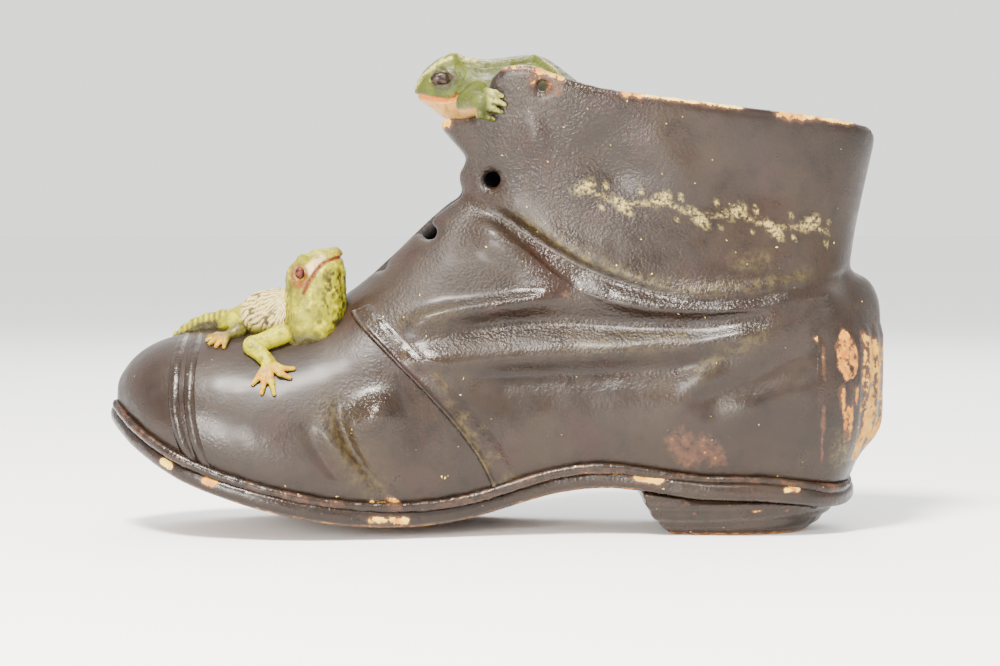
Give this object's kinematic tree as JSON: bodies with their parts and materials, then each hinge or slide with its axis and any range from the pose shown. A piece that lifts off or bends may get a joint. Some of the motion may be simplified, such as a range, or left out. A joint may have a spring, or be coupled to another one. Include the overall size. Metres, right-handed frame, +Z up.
{
  "type": "ceramic boot vase",
  "caption": "Terracotta ankle boot made as a small vase, varnished dark brown, with a frog climbing out of the mouth and a lizard on the vamp.",
  "frame": {"origin": "on the standing surface, under the middle of the whole piece", "axes": "+Z up, -X towards the toe and +X towards the heel, -Y towards the boot's inner side, from which the lizard's right legs and the frog's left hand are seen"},
  "size_m": [0.2318, 0.0764, 0.1412],
  "materials": {
    "boot_varnish": "dark brown varnish over fired clay, orange-peel gloss, chipped to orange clay at the edges",
    "sole_varnish": "dark brown varnish, rubbed to orange-brown clay on the lowest edges",
    "frog_paint": "cold-painted olive green with cream stripes, satin",
    "lizard_paint": "cold-painted yellow-green with darker strokes, satin",
    "frog_eye_paint": "glossy black-brown",
    "lizard_eye_paint": "glossy red-brown"
  },
  "bodies": {
    "root": {"upper_left_half": "boot_varnish", "upper_right_half": "boot_varnish", "toe_cap_front_roll": "boot_varnish", "toe_cap_rear_roll": "boot_varnish", "quarter_strap_left": "boot_varnish", "quarter_strap_right": "boot_varnish", "back_stay": "boot_varnish", "tongue": "boot_varnish", "sole": "sole_varnish", "heel_block": "sole_varnish", "welt_coil_left": "sole_varnish", "welt_coil_right": "sole_varnish", "frog_body": "frog_paint", "frog_left_foreleg": "frog_paint", "frog_right_foreleg": "frog_paint", "frog_left_hind_leg": "frog_paint", "frog_right_hind_leg": "frog_paint", "lizard_trunk": "lizard_paint", "lizard_head": "lizard_paint", "lizard_tail": "lizard_paint", "lizard_left_foreleg": "lizard_paint", "lizard_right_foreleg": "lizard_paint", "lizard_left_hind_leg": "lizard_paint", "lizard_right_hind_leg": "lizard_paint", "frog_eyes": "frog_eye_paint", "lizard_eyes": "lizard_eye_paint"}
  },
  "joints": []
}
